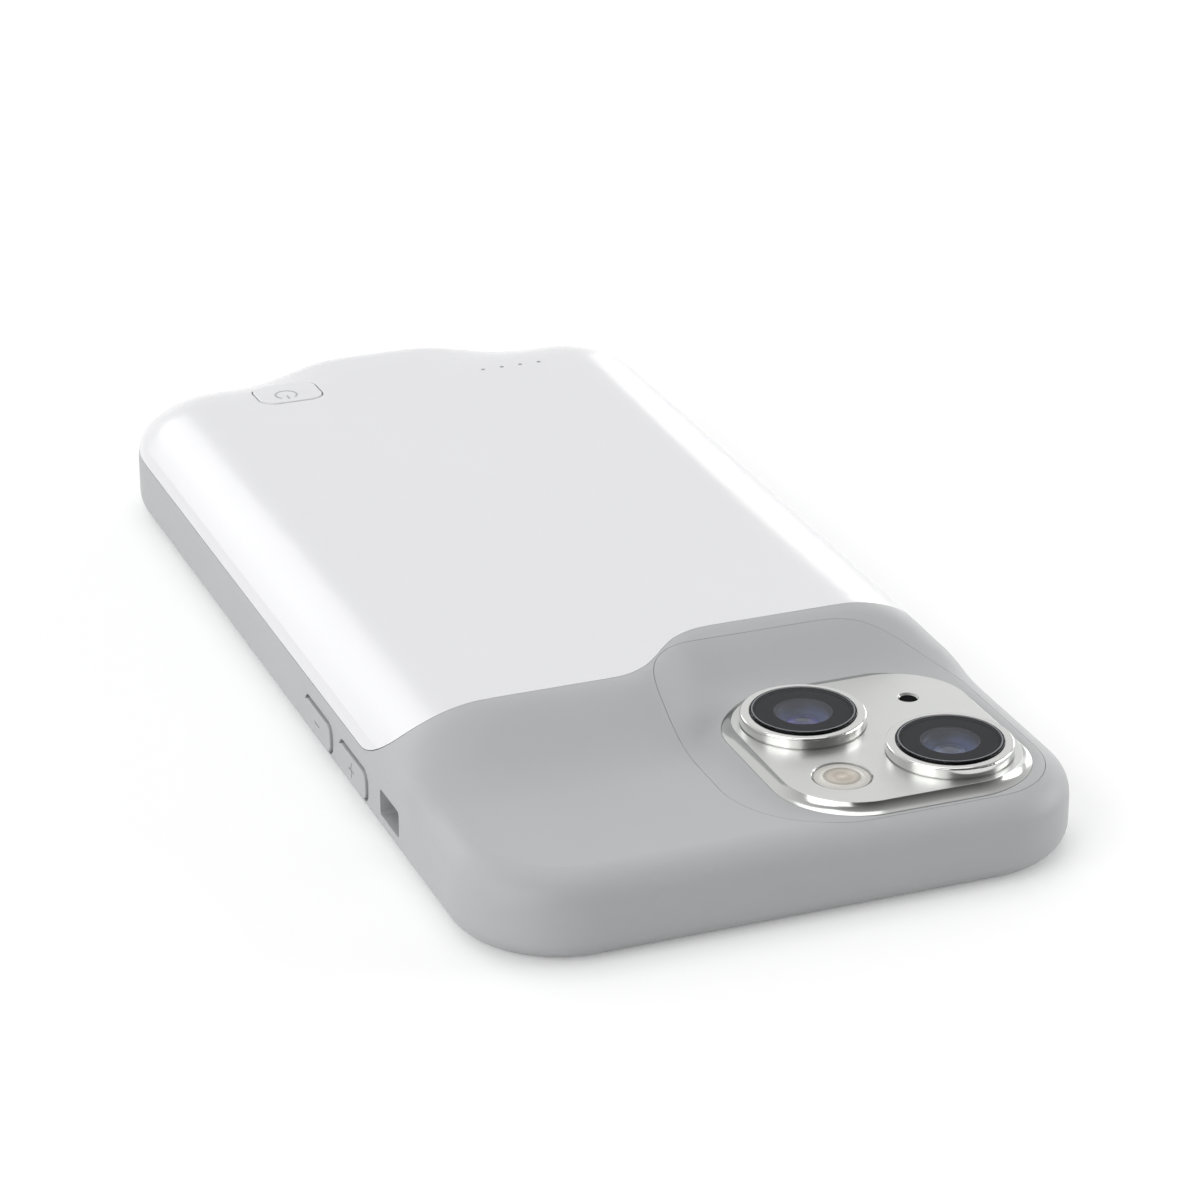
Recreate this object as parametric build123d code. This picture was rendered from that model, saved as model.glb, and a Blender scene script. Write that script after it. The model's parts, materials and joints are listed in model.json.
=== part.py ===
"""Battery charging case, lying with its open side down and its back up.

X is across the case, Y runs along it from the camera end to the charging end, and Z is up.
The origin is the centre of the rim plane. Sizes are in millimetres.
"""

from build123d import *
import math
import os

# The pocket and the walls round it
pocket_width = 71.9
pocket_length = 147.1
pocket_depth = 7.7
pocket_corner = 10.95
far_corner = 20.8
side_wall = 2.55
chin_length = 11.35
lip_height = 1.6
lip_overlap = 1.4
rim_round = 3.1

# The back, upwards from the pocket
bed_thickness = 1.0
bay_height = 4.4
back_wall = 1.4
deck_thickness = 1.1
surround_thickness = 0.55
edge_round = 4.2
flat_half_width = 24.8
shoulder_height = 10.3
shoulder_lean = 0.83
end_run = 11.7
scoop_depth = 4.25
scoop_run = 21.1
hump_half_width = 3.6
hump_flank = 20.4
deck_slope_run = 18.0
camera_slope_run = 16.5
skin_step = 2.0
skin_margin = 5.5

# The joint between the cover and the frame
seam_below_ceiling = 0.5
seam_gap = 0.08
fit_gap = 0.05
cover_skirt = 1.9
cover_lap = 1.0
cover_corner = 8.0
left_edge_from_end = 37.3
right_edge_from_end = 46.9
edge_bend_start = 29.0
edge_bend_run = 17.0

# The camera surround, guard and lenses
surround_width = 39.3
surround_length = 41.75
surround_from_side = 3.4
surround_from_end = 2.85
surround_gap = 0.06
surround_radii = {"far_left": 10.5, "near_left": 13.0, "near_right": 9.5, "far_right": 14.0}
guard_width = 32.3
guard_length = 33.2
guard_corner = 10.0
guard_from_side = 20.9
guard_from_end = 19.9
guard_rise = 1.15
guard_top_lean = 20.0
guard_foot_lean = 70.0
guard_edge = 0.04
window_ledge = 2.0
lens_offset_x = 6.43
lens_offset_y = 6.7
lens_ring_radius = 7.6
lens_ring_rise = 1.4
lens_ring_wall = 1.1
lens_ring_lip = 0.9
lens_ring_foot = 0.15
lens_ring_undercut = 0.2
ring_edge = 0.3
glass_thickness = 0.6
glass_rise = 0.25
glass_edge = 0.15
baffle_throat = 3.5
lens_radius = 1.87
lens_height = 1.25
lens_crown = 0.4
flash_offset_x = 8.12
flash_offset_y = 8.17
flash_recess_radius = 3.5
flash_recess = 0.45
flash_chamfer = 0.15
flash_sink = 0.15
flash_radius = 2.4
flash_step = 0.12
flash_edge = 0.1
mic_radius = 1.1
mic_chamfer = 0.25
mic_ledge = 0.3
mesh_radius = 1.45
mesh_thickness = 0.3

# Buttons and the switch slot in the side walls
pad_height = 3.5
pad_centre_z = 4.6
pad_corner = 1.2
pad_proud = 0.3
pad_edge = 0.15
pad_groove = 0.45
pad_groove_depth = 0.9
pad_travel = 0.25
pad_clearance = 0.15
pad_flange = 0.7
pad_flange_thickness = 0.5
pad_sign_length = 2.0
pad_sign_stroke = 0.3
pad_sign_depth = 0.15
pad_sign_corner = 0.1
volume_length = 10.2
volume_up_from_end = 47.1
volume_down_from_end = 60.7
side_button_length = 13.0
side_button_from_end = 50.5
slot_length = 6.8
slot_height = 3.4
slot_corner = 0.5
slot_from_end = 33.7
slot_centre_z = 5.2

# Power button and lamps at the charging end
power_width = 9.05
power_length = 7.2
power_corner = 2.2
power_left_of_centre = 17.0
power_from_end = 19.7
power_proud = 0.1
power_lead = 1.2
power_edge = 0.2
power_travel = 0.4
power_clearance = 0.22
power_flange = 0.7
power_flange_thickness = 0.5
power_flange_drop = 0.2
power_stem_radius = 1.5
lamp_count = 4
lamp_pitch = 2.82
lamp_row_right = 16.0
lamp_from_end = 21.1
lamp_pipe_radius = 0.25
lamp_pipe_bar = 0.5
lamp_pipe_bar_width = 1.6
lamp_size = 1.2
lamp_height = 0.5

# Cell, boards and connectors
cell_width = 54.0
cell_length = 80.0
cell_thickness = 3.4
cell_corner = 2.0
cell_from_end = 87.5
tape_thickness = 0.15
tape_width = 12.0
foam_width = 8.0
strip_spacing = 27.0
strip_inset = 8.0
board_thickness = 0.8
board_standoff = 0.6
board_width = 52.0
board_length = 15.5
board_from_end = 21.5
boss_radius = 1.6
screw_radius = 0.6
screw_head_radius = 1.2
screw_head_height = 0.5
screw_depth = 1.2
screw_inset = 2.2
component_inset = 2.0
switch_size = 4.0
switch_height = 0.8
chip_size = 4.0
chip_height = 0.9
choke_size = 4.5
choke_height = 1.8
choke_left_of_centre = 9.0
connector_width = 7.0
connector_length = 2.6
connector_height = 1.2
connector_right_of_centre = 14.0
plug_width = 8.25
plug_thickness = 2.4
plug_reach = 6.6
plug_shell = 0.35
plug_base_width = 11.0
plug_base_length = 2.6
port_width = 8.94
port_height = 3.26
port_length = 7.0
port_shell = 0.3
port_sink = 0.3
port_tongue_width = 6.7
port_tongue_thickness = 0.7
port_tongue_sink = 0.6
port_clearance = 0.1
chin_wall = 1.25
chin_bay_width = 40.0
chin_bay_length = 7.0
chin_headroom = 0.6
chin_board_width = 34.0
chin_board_length = 6.4
flex_width = 6.0
flex_thickness = 0.25
flex_right_of_centre = 10.0
flex_overlap = 2.0
flex_clearance = 0.5

# Overall sizes and levels that follow from these
case_width = pocket_width + 2 * side_wall
case_length = side_wall + pocket_length + chin_length
corner_radius = pocket_corner + side_wall
side = case_width / 2
near_end = -case_length / 2
far_end = case_length / 2
ceiling = lip_height + pocket_depth
bed_top = ceiling + bed_thickness
back_height = bed_top + bay_height + back_wall
deck_height = ceiling + deck_thickness
camera_floor = deck_height - surround_thickness
seam_height = ceiling - seam_below_ceiling
left_edge = near_end + left_edge_from_end
right_edge = near_end + right_edge_from_end
bend_start = edge_bend_start - side
bend_end = bend_start + edge_bend_run
guard_x = side - guard_from_side
guard_y = near_end + guard_from_end
guard_top = deck_height + guard_rise
foot_lean = math.radians(guard_foot_lean)
hollow_radius = guard_rise / (math.sin(foot_lean) - math.sin(math.radians(guard_top_lean)))
hollow_outset = hollow_radius * math.cos(foot_lean)
hollow_z = deck_height + hollow_radius * math.sin(foot_lean)
ring_top = guard_top + lens_ring_rise
pocket_far = near_end + side_wall + pocket_length
pocket_side = pocket_width / 2
pad_recess = pad_flange_thickness + pad_travel + pad_clearance
plug_z = lip_height + pocket_depth / 2
chin_floor = plug_z - port_height / 2 - board_thickness
chin_ceiling = plug_z + port_height / 2 + chin_headroom
flex_left = flex_right_of_centre - flex_width / 2
flex_right = flex_left + flex_width
board_bottom = bed_top + board_standoff
board_top = board_bottom + board_thickness
power_x = -power_left_of_centre
power_y = far_end - power_from_end
lamp_y = far_end - lamp_from_end
tall = back_height + edge_round


def ramp(t):
    """Smooth step from 0 to 1 with no slope or curvature at its ends."""
    t = min(max(t, 0.0), 1.0)
    return t**3 * (t * (6 * t - 15) + 10)


def fall(t):
    """Step from 0 to 1 that turns down early and runs out gently."""
    t = min(max(t, 0.0), 1.0)
    return 1 - (1 - t) ** 3 * (1 + 3 * t)


def shoulder(u, run):
    """Drop at a distance u past the flat: a quarter ellipse, then its tangent."""
    if u <= 0:
        return 0.0
    s = min(u / run, shoulder_lean)
    root = math.sqrt(1 - s * s)
    slope = shoulder_height / run * s / root
    return shoulder_height * (1 - root) + slope * (u - s * run)


def skin_height(x, y):
    """Height of the back before its outer edge is rounded."""
    beside_camera = ramp((x - bend_start) / edge_bend_run)
    edge = left_edge + (right_edge - left_edge) * beside_camera
    run = deck_slope_run + (camera_slope_run - deck_slope_run) * beside_camera
    raised = 1 - fall((edge - y) / run)
    z = deck_height + (back_height - deck_height) * raised
    z -= raised * shoulder(abs(x) - flat_half_width, side - flat_half_width)
    scoop = ramp((abs(x) - hump_half_width) / hump_flank)
    z -= scoop_depth * scoop * ramp((y - far_end + scoop_run) / scoop_run)
    return z - shoulder(y - far_end + end_run, end_run)


def steps(half_length):
    """Evenly spaced places from one side to the other, past the outline."""
    reach = half_length + skin_margin
    count = math.ceil(2 * reach / skin_step)
    return [-reach + 2 * reach * i / count for i in range(count + 1)]


def block(x0, x1, y0, y1, z0, z1):
    """A box between two corners."""
    return Pos((x0 + x1) / 2, (y0 + y1) / 2, (z0 + z1) / 2) * Box(x1 - x0, y1 - y0, z1 - z0)


def prism(sketch, z0, z1):
    """A plan sketch raised from one level to another."""
    return Pos(0, 0, z0) * extrude(sketch, amount=z1 - z0)


def outline(inset=0.0):
    """Plan of the case, drawn in by an inset, with rounder corners at the charging end."""
    plan = Rectangle(case_width - 2 * inset, case_length - 2 * inset)
    plan = fillet(plan.vertices().sort_by(Axis.Y)[:2], corner_radius - inset)
    return fillet(plan.vertices().sort_by(Axis.Y)[-2:], far_corner - inset)


def disc(radius, x, y, z0, z1):
    """An upright round between two levels."""
    return Pos(x, y, (z0 + z1) / 2) * Cylinder(radius, z1 - z0)


def side_prism(width, height, corner, y, z, x0, x1):
    """A rounded rectangle seen from the side, run from x0 to x1."""
    plane = Plane(origin=(x0, y, z), x_dir=(0, 1, 0), z_dir=(1, 0, 0))
    return extrude(plane * RectangleRounded(width, height, corner), amount=x1 - x0)


def end_prism(width, height, x, z, y0, y1):
    """A slot with round ends seen from the charging end, run from y0 to y1."""
    plane = Plane(origin=(x, y0, z), x_dir=(-1, 0, 0), z_dir=(0, 1, 0))
    return extrude(plane * SlotOverall(width, height), amount=y1 - y0)


# Outer form of the closed case, and the bay inside it
skin = Face.make_surface_from_array_of_points(
    [[(x, y, skin_height(x, y)) for y in steps(far_end)] for x in steps(side)],
    tol=0.01,
    min_deg=3,
    max_deg=3,
)
under_skin = extrude(skin, amount=2 * tall, dir=(0, 0, -1))
envelope = prism(outline(), 0, tall) & under_skin
envelope = fillet(envelope.faces().sort_by(Axis.Z)[-1].edges(), edge_round)
envelope = fillet(envelope.edges().group_by(Axis.Z)[0], rim_round)
bay = prism(outline(edge_round + fit_gap), bed_top, tall) & (Pos(0, 0, -back_wall) * under_skin)


def cover_region(gap):
    """All that is above the seam and behind the cover's front edge, grown by a gap."""
    with BuildSketch() as plan:
        with BuildLine():
            far = far_end + tall
            bend = edge_bend_run / 2
            Polyline((bend_end, right_edge), (case_width, right_edge), (case_width, far),
                     (-case_width, far), (-case_width, left_edge), (bend_start, left_edge))
            Bezier((bend_start, left_edge), (bend_start + bend, left_edge),
                   (bend_end - bend, right_edge), (bend_end, right_edge))
        make_face()
    region = prism(Pos(0, -gap) * plan.sketch, seam_height - gap, tall)
    for x0, x1, edge in ((-case_width, bend_end, left_edge), (bend_end, case_width, right_edge)):
        corner = block(x0, x1, edge - gap - tall, edge - gap + cover_corner,
                       seam_height - gap - tall, seam_height - gap + cover_corner)
        plane = Plane(origin=(x0, edge - gap + cover_corner, seam_height - gap + cover_corner),
                      x_dir=(0, 1, 0), z_dir=(1, 0, 0))
        corner -= extrude(plane * Circle(cover_corner), amount=x1 - x0)
        region -= corner
    return region


def bed_step(gap):
    """Raised middle of the frame that the cover drops over, grown by a gap."""
    step = prism(outline(cover_skirt - gap), seam_height - cover_skirt, bed_top + gap)
    return step & (Pos(0, 0, gap - cover_lap) * envelope)


def surround_plan(inset=0.0):
    """Plan of the camera surround, each corner with a radius of its own."""
    x1 = side - surround_from_side - inset
    x0 = side - surround_from_side - surround_width + inset
    y0 = near_end + surround_from_end + inset
    y1 = near_end + surround_from_end + surround_length - inset
    corners = {"far_left": (x0, y1), "near_left": (x0, y0), "near_right": (x1, y0), "far_right": (x1, y1)}
    plan = Pos((x0 + x1) / 2, (y0 + y1) / 2) * Rectangle(x1 - x0, y1 - y0)
    for name, place in corners.items():
        vertex = plan.vertices().sort_by_distance((*place, 0))[0]
        plan = fillet(vertex, surround_radii[name] - inset)
    return plan


def guard_plan(inset=0.0):
    """Plan of the camera guard."""
    plan = RectangleRounded(guard_width - 2 * inset, guard_length - 2 * inset, guard_corner - inset)
    return Pos(guard_x, guard_y) * plan


def side_button(length, centre_from_end, hand):
    """A push pad through a side wall, with a flange that keeps it in. Hand is the wall's side."""
    y = near_end + centre_from_end
    flange_face = pocket_side + pad_recess - fit_gap
    pad = side_prism(length, pad_height, pad_corner, y, pad_centre_z,
                     flange_face - pad_flange_thickness, side + pad_proud)
    pad = fillet(pad.faces().sort_by(Axis.X)[-1].edges(), pad_edge)
    pad += side_prism(length + 2 * pad_flange, pad_height + 2 * pad_flange, pad_corner, y, pad_centre_z,
                      flange_face - pad_flange_thickness, flange_face)
    return pad if hand > 0 else mirror(pad, about=Plane.YZ)


def volume_button(centre_from_end, strokes):
    """A pad of the left wall with strokes of its plus or minus sign cut in, given as (length, height)."""
    part = side_button(volume_length, centre_from_end, -1)
    face = -side - pad_proud
    for length, height in strokes:
        part -= side_prism(length, height, pad_sign_corner, near_end + centre_from_end, pad_centre_z,
                           face - pad_sign_depth, face + pad_sign_depth)
    return part


def side_button_cut(length, centre_from_end, hand):
    """The hole for such a pad, the groove round it and the recess for its flange."""
    y = near_end + centre_from_end
    spread = 2 * pad_clearance
    wide = 2 * pad_groove
    grown = 2 * (pad_flange + pad_clearance)
    cut = side_prism(length + spread, pad_height + spread, pad_corner + pad_clearance, y, pad_centre_z,
                     pocket_side - side_wall, side + side_wall)
    cut += side_prism(length + wide, pad_height + wide, pad_corner + pad_groove, y, pad_centre_z,
                      side - pad_groove_depth, side + side_wall)
    cut += side_prism(length + grown, pad_height + grown, pad_corner + pad_clearance, y, pad_centre_z,
                      pocket_side - side_wall, pocket_side + pad_recess)
    return cut if hand > 0 else mirror(cut, about=Plane.YZ)


button_holes = [
    (volume_length, volume_up_from_end, -1),
    (volume_length, volume_down_from_end, -1),
    (side_button_length, side_button_from_end, 1),
]
minus = (pad_sign_length, pad_sign_stroke)
plus_upright = (pad_sign_stroke, pad_sign_length)

screw_x = board_width / 2 - screw_inset
board_far = far_end - board_from_end + board_length / 2
board_near = board_far - board_length
screw_places = [(-screw_x, board_near + screw_inset), (screw_x, board_near + screw_inset),
                (0, board_far - screw_inset)]
lens_places = {"far": (guard_x - lens_offset_x, guard_y + lens_offset_y),
               "near": (guard_x + lens_offset_x, guard_y - lens_offset_y)}
flash_x = guard_x - flash_offset_x
flash_y = guard_y - flash_offset_y
mic_x = guard_x + flash_offset_x
mic_y = guard_y + flash_offset_y
mesh_top = guard_top - mic_ledge
glass_radius = lens_ring_radius - lens_ring_wall
bore_radius = glass_radius - lens_ring_lip
spigot_radius = bore_radius + lens_ring_wall
glass_top = ring_top + glass_rise
glass_bottom = glass_top - glass_thickness
lens_base = camera_floor + fit_gap
chin_near = pocket_far + chin_wall
plug_base_far = chin_near + plug_base_length
lamp_places = [(lamp_row_right + (i - (lamp_count - 1) / 2) * lamp_pitch, lamp_y) for i in range(lamp_count)]


def rear_frame():
    """Moulded frame: walls, lip, bed of the cell, camera deck and chin in one piece."""
    part = envelope - cover_region(seam_gap)
    part += bed_step(0)
    part -= prism(surround_plan(), camera_floor, tall)
    part -= bay
    pocket_y = near_end + side_wall + pocket_length / 2
    pocket = RectangleRounded(pocket_width, pocket_length, pocket_corner)
    mouth = RectangleRounded(pocket_width - 2 * lip_overlap, pocket_length - 2 * lip_overlap,
                             pocket_corner - lip_overlap)
    part -= Pos(0, pocket_y) * prism(pocket, lip_height, ceiling)
    part -= Pos(0, pocket_y) * prism(mouth, -lip_height, ceiling)
    part -= prism(guard_plan(window_ledge), ceiling - bed_thickness, tall)
    for hole in button_holes:
        part -= side_button_cut(*hole)
    part -= side_prism(slot_length, slot_height, slot_corner, near_end + slot_from_end, slot_centre_z,
                       -side - side_wall, -pocket_side + side_wall)
    part -= block(-chin_bay_width / 2, chin_bay_width / 2, chin_near, chin_near + chin_bay_length,
                  chin_floor, chin_ceiling)
    part -= block(flex_left - flex_clearance, flex_right + flex_clearance, chin_near,
                  chin_near + flex_overlap + flex_clearance, chin_floor, bed_top)
    part -= end_prism(plug_width + 2 * port_clearance, plug_thickness + 2 * port_clearance, 0, plug_z,
                      pocket_far - chin_wall, chin_near)
    part -= end_prism(port_width + 2 * port_clearance, port_height + 2 * port_clearance, 0, plug_z,
                      chin_near, far_end + side_wall)
    for x, y in screw_places:
        part += disc(boss_radius, x, y, bed_top - fit_gap, board_bottom)
        part -= disc(screw_radius + fit_gap, x, y, board_bottom - screw_depth - fit_gap, tall)
    return part


def battery_cover():
    """Glossy outer shell over the cell, with holes for the button and the lamps."""
    part = envelope & cover_region(0)
    part -= bed_step(fit_gap)
    part -= bay
    part -= prism(power_plan(power_clearance), bed_top, tall)
    for x, y in lamp_places:
        part -= disc(lamp_pipe_radius + fit_gap, x, y, bed_top, tall)
    return part


def camera_surround():
    """Curved panel round the camera guard, let into the deck."""
    part = envelope & prism(surround_plan(surround_gap), camera_floor, tall)
    part -= bay
    return part - prism(guard_plan(-fit_gap), 0, tall)


def camera_guard():
    """Metal plate with a hollowed edge and holes for the lens rings, the flash and the microphone."""
    part = prism(guard_plan(), camera_floor, guard_top)
    path = Pos(0, 0, hollow_z) * guard_plan(-hollow_outset).face().outer_wire()
    part -= sweep(Plane(origin=path @ 0, z_dir=path % 0) * Circle(hollow_radius), path=path)
    part = fillet(part.faces().sort_by(Axis.Z)[-1].edges(), guard_edge)
    for x, y in lens_places.values():
        part -= disc(spigot_radius + fit_gap, x, y, 0, tall)
    part -= disc(flash_recess_radius, flash_x, flash_y, guard_top - flash_recess, tall)
    part -= disc(flash_radius + fit_gap, flash_x, flash_y, 0, tall)
    part -= disc(mic_radius, mic_x, mic_y, 0, tall)
    part -= disc(mesh_radius + fit_gap, mic_x, mic_y, 0, mesh_top)
    rims = ((flash_recess_radius, flash_chamfer, flash_x, flash_y), (mic_radius, mic_chamfer, mic_x, mic_y))
    for radius, chamfer, x, y in rims:
        part -= Pos(x, y, guard_top - chamfer / 2) * Cone(radius, radius + chamfer, chamfer)
    return part


def lens_ring(x, y):
    """Polished bezel that stands on the guard, with a spigot in its hole and a seat for the glass."""
    part = disc(lens_ring_radius, x, y, guard_top + lens_ring_foot, ring_top)
    part = fillet(part.edges().group_by(Axis.Z)[-1], ring_edge)
    part += disc(lens_ring_radius - lens_ring_undercut, x, y, guard_top, ring_top)
    part += disc(spigot_radius, x, y, lens_base, guard_top)
    part -= disc(bore_radius, x, y, 0, tall)
    return part - disc(glass_radius, x, y, glass_bottom, tall)


def lens_glass(x, y):
    """Cover glass in the bezel, a little proud of it."""
    part = disc(glass_radius - fit_gap, x, y, glass_bottom, glass_top)
    return fillet(part.edges().group_by(Axis.Z)[-1], glass_edge)


def lens_baffle(x, y):
    """Black barrel under the glass, with a tapered throat."""
    seat = lens_base + lens_height
    part = disc(bore_radius - fit_gap, x, y, lens_base, glass_bottom - fit_gap)
    part -= disc(lens_radius + fit_gap, x, y, 0, seat)
    depth = glass_bottom - fit_gap - seat
    return part - Pos(x, y, seat + depth / 2) * Cone(lens_radius + fit_gap, baffle_throat, depth)


def lens_element(x, y):
    """Small domed lens at the bottom of the barrel."""
    dome_radius = (lens_radius**2 + lens_crown**2) / (2 * lens_crown)
    top = lens_base + lens_height + lens_crown
    part = disc(lens_radius, x, y, lens_base, top)
    return part & (Pos(x, y, top - dome_radius) * Sphere(dome_radius))


def flash_window():
    """Frosted window that fills the flash recess, its middle raised a little."""
    flange_top = guard_top - flash_sink
    part = disc(flash_radius, flash_x, flash_y, lens_base, flange_top + flash_step)
    part = fillet(part.edges().group_by(Axis.Z)[-1], flash_edge)
    return part + disc(flash_recess_radius - fit_gap, flash_x, flash_y, guard_top - flash_recess, flange_top)


def power_plan(inset=0.0):
    """Plan of the power button, grown by an inset."""
    plan = RectangleRounded(power_width + 2 * inset, power_length + 2 * inset, power_corner + inset)
    return Pos(power_x, power_y) * plan


def power_button():
    """Button cap with a flange under the cover and a stem over its switch.

    Its top has the form of the back, set a little towards the charging end, where it stands out more.
    """
    far_edge = power_y + power_length / 2 + power_flange
    outer = power_x - power_width / 2 - power_flange
    flange_top = skin_height(outer, far_edge) - back_wall - power_flange_drop
    flange_bottom = flange_top - power_flange_thickness
    part = prism(power_plan(), flange_bottom, tall) & (Pos(0, power_lead, power_proud) * under_skin)
    part = fillet(part.faces().sort_by(Axis.Z)[-1].edges(), power_edge)
    part += prism(power_plan(power_flange), flange_bottom, flange_top)
    stem_bottom = board_top + switch_height + power_travel + fit_gap
    return part + disc(power_stem_radius, power_x, power_y, stem_bottom, flange_top)


def light_guide():
    """Clear bar over the lamps, with a pipe up to each hole in the cover."""
    bar_bottom = board_top + lamp_height + fit_gap
    bar_top = bar_bottom + lamp_pipe_bar
    reach = (lamp_count - 1) / 2 * lamp_pitch + lamp_pipe_bar_width / 2
    part = block(lamp_row_right - reach, lamp_row_right + reach, lamp_y - lamp_pipe_bar_width / 2,
                 lamp_y + lamp_pipe_bar_width / 2, bar_bottom, bar_top)
    for x, y in lamp_places:
        part += disc(lamp_pipe_radius, x, y, bar_bottom, tall) & envelope
    return part


def board_screws():
    """Screws that hold the main board on its bosses."""
    parts = []
    for x, y in screw_places:
        shank = disc(screw_radius, x, y, board_bottom - screw_depth, board_top)
        parts.append(shank + disc(screw_head_radius, x, y, board_top, board_top + screw_head_height))
    return Compound(children=parts)


def main_board():
    """Board with the charging circuit, the switch and the lamps."""
    part = block(-board_width / 2, board_width / 2, board_near, board_far, board_bottom, board_top)
    for x, y in screw_places:
        part -= disc(screw_radius + fit_gap, x, y, 0, tall)
    return part


def on_board(width, length, height, x, y):
    """A component standing on the main board."""
    return block(x - width / 2, x + width / 2, y - length / 2, y + length / 2, board_top, board_top + height)


def at_board_edge(width, length, height, x):
    """A component in the row along the board's near edge."""
    return on_board(width, length, height, x, board_near + component_inset + length / 2)


def status_lights():
    """One small lamp under each pipe of the light guide."""
    return Compound(children=[on_board(lamp_size, lamp_size, lamp_height, x, y) for x, y in lamp_places])


cell_near = near_end + cell_from_end - cell_length / 2
cell_far = cell_near + cell_length
cell_bottom = bed_top + tape_thickness
cell_top = cell_bottom + cell_thickness


def battery_cell():
    """Flat pouch cell on the bed."""
    plan = Pos(0, (cell_near + cell_far) / 2) * RectangleRounded(cell_width, cell_length, cell_corner)
    return prism(plan, cell_bottom, cell_top)


def cell_strips(width, z0, z1):
    """Two strips along the cell, one each side."""
    places = (-strip_spacing / 2, strip_spacing / 2)
    return Compound(children=[block(x - width / 2, x + width / 2, cell_near + strip_inset,
                                    cell_far - strip_inset, z0, z1) for x in places])


def charging_plug():
    """Metal shell of the plug that stands into the pocket."""
    part = end_prism(plug_width, plug_thickness, 0, plug_z, pocket_far - plug_reach, chin_near)
    return part - end_prism(plug_width - 2 * plug_shell, plug_thickness - 2 * plug_shell, 0, plug_z,
                            pocket_far - plug_reach, pocket_far)


def plug_base():
    """Moulded block that carries the plug on the charging board."""
    return block(-plug_base_width / 2, plug_base_width / 2, chin_near, plug_base_far,
                 plug_z - port_height / 2, plug_z + port_height / 2)


def charging_port():
    """Drawn shell of the charging socket, closed at its back."""
    back = far_end - port_sink - port_length
    part = end_prism(port_width, port_height, 0, plug_z, back, far_end - port_sink)
    return part - end_prism(port_width - 2 * port_shell, port_height - 2 * port_shell, 0, plug_z,
                            back + port_shell, far_end)


def port_tongue():
    """Contact tongue in the middle of the socket."""
    half = port_tongue_width / 2
    back = far_end - port_sink - port_length + port_shell
    return block(-half, half, back, far_end - port_tongue_sink, plug_z - port_tongue_thickness / 2,
                 plug_z + port_tongue_thickness / 2)


def charging_board():
    """Small board in the chin that carries the plug and the socket."""
    half = chin_board_width / 2
    return block(-half, half, chin_near + fit_gap, chin_near + chin_board_length, chin_floor,
                 chin_floor + board_thickness)


def board_flex():
    """Folded strip from the charging board up to the main board."""
    rise_y = chin_near + flex_overlap
    low = chin_floor + board_thickness
    part = block(flex_left, flex_right, rise_y - flex_thickness, rise_y, low, board_top + flex_thickness)
    part += block(flex_left, flex_right, rise_y, rise_y + flex_overlap, low, low + flex_thickness)
    return part + block(flex_left, flex_right, board_far - flex_overlap, rise_y, board_top,
                        board_top + flex_thickness)


nodes = {
    "rear_frame": rear_frame(),
    "battery_cover": battery_cover(),
    "camera_surround": camera_surround(),
    "camera_guard": camera_guard(),
    "flash_window": flash_window(),
    "microphone_mesh": disc(mesh_radius, mic_x, mic_y, mesh_top - mesh_thickness, mesh_top),
    "volume_up_button": volume_button(volume_up_from_end, [minus, plus_upright]),
    "volume_down_button": volume_button(volume_down_from_end, [minus]),
    "side_button": side_button(side_button_length, side_button_from_end, 1),
    "power_button": power_button(),
    "light_guide": light_guide(),
    "status_lights": status_lights(),
    "main_board": main_board(),
    "board_screws": board_screws(),
    "power_switch": on_board(switch_size, switch_size, switch_height, power_x, power_y),
    "charge_chip": at_board_edge(chip_size, chip_size, chip_height, 0),
    "choke_coil": at_board_edge(choke_size, choke_size, choke_height, -choke_left_of_centre),
    "cell_connector": at_board_edge(connector_width, connector_length, connector_height,
                                    connector_right_of_centre),
    "battery_cell": battery_cell(),
    "cell_tape": cell_strips(tape_width, bed_top, cell_bottom),
    "cell_foam": cell_strips(foam_width, cell_top, back_height - back_wall - fit_gap),
    "charging_board": charging_board(),
    "charging_plug": charging_plug(),
    "plug_base": plug_base(),
    "charging_port": charging_port(),
    "port_tongue": port_tongue(),
    "board_flex": board_flex(),
}
for name, place in lens_places.items():
    nodes[name + "_lens_ring"] = lens_ring(*place)
    nodes[name + "_lens_glass"] = lens_glass(*place)
    nodes[name + "_lens_baffle"] = lens_baffle(*place)
    nodes[name + "_lens_element"] = lens_element(*place)

os.makedirs("parts", exist_ok=True)
for name, solid in nodes.items():
    export_step(solid, f"parts/{name}.step")
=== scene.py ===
import json
import math

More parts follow.
